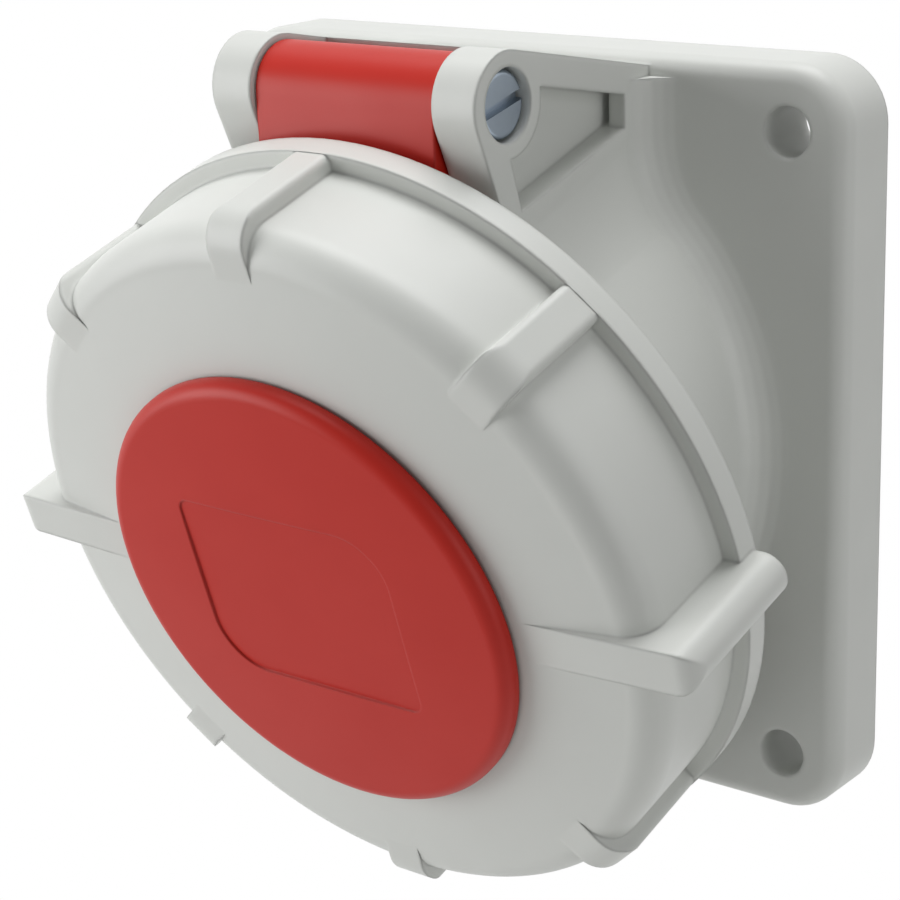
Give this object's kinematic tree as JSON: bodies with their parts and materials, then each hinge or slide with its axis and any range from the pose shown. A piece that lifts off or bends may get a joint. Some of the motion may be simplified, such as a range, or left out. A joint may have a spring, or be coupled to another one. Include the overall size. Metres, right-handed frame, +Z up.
{
  "type": "panel socket",
  "caption": "Angled square-flanged panel socket with a round collar, a hinged red lid and a winged bayonet ring that locks the lid over the contacts.",
  "frame": {"origin": "centre of the flange's back face, on the panel's plane", "axes": "+Z up, -Y out of the panel towards the user, +X to the right seen from the front"},
  "size_m": [0.094, 0.0814, 0.0965],
  "materials": {
    "shell_grey": "fine satin light grey moulded polyamide",
    "lid_red": "satin red moulded polyamide",
    "seal_black": "matte black elastomer",
    "insert_dark": "matte dark grey thermoset",
    "contact_brass": "bare machined brass",
    "spring_steel": "bright spring steel",
    "zinc_steel": "blue-grey zinc plated steel"
  },
  "bodies": {
    "socket": {"housing": "shell_grey", "flange_gasket": "seal_black", "contact_carrier": "insert_dark", "rear_carrier": "insert_dark", "carrier_seal": "seal_black", "carrier_screws": "zinc_steel", "contact_l1": "contact_brass", "contact_l2": "contact_brass", "contact_l3": "contact_brass", "contact_n": "contact_brass", "contact_pe": "contact_brass", "contact_springs": "spring_steel", "terminal_screws": "zinc_steel", "terminal_clamps": "spring_steel", "hinge_screw": "zinc_steel", "hinge_nut": "zinc_steel"},
    "lid": {"lid": "lid_red", "lid_seal": "seal_black", "lid_cap": "lid_red"},
    "ring": {"locking_ring": "shell_grey"}
  },
  "joints": [
    {"name": "lid_hinge", "type": "hinge", "parent": "socket", "child": "lid", "pos_m": [0, -0.0336, 0.0403], "axis": [-1, 0, 0], "range_deg": [0, 150]},
    {"name": "ring_turn", "type": "hinge", "parent": "lid", "child": "ring", "pos_m": [0, -0.03744, -0.00792], "axis": [0, 0.9578, 0.2874], "range_deg": [0, 50]}
  ]
}
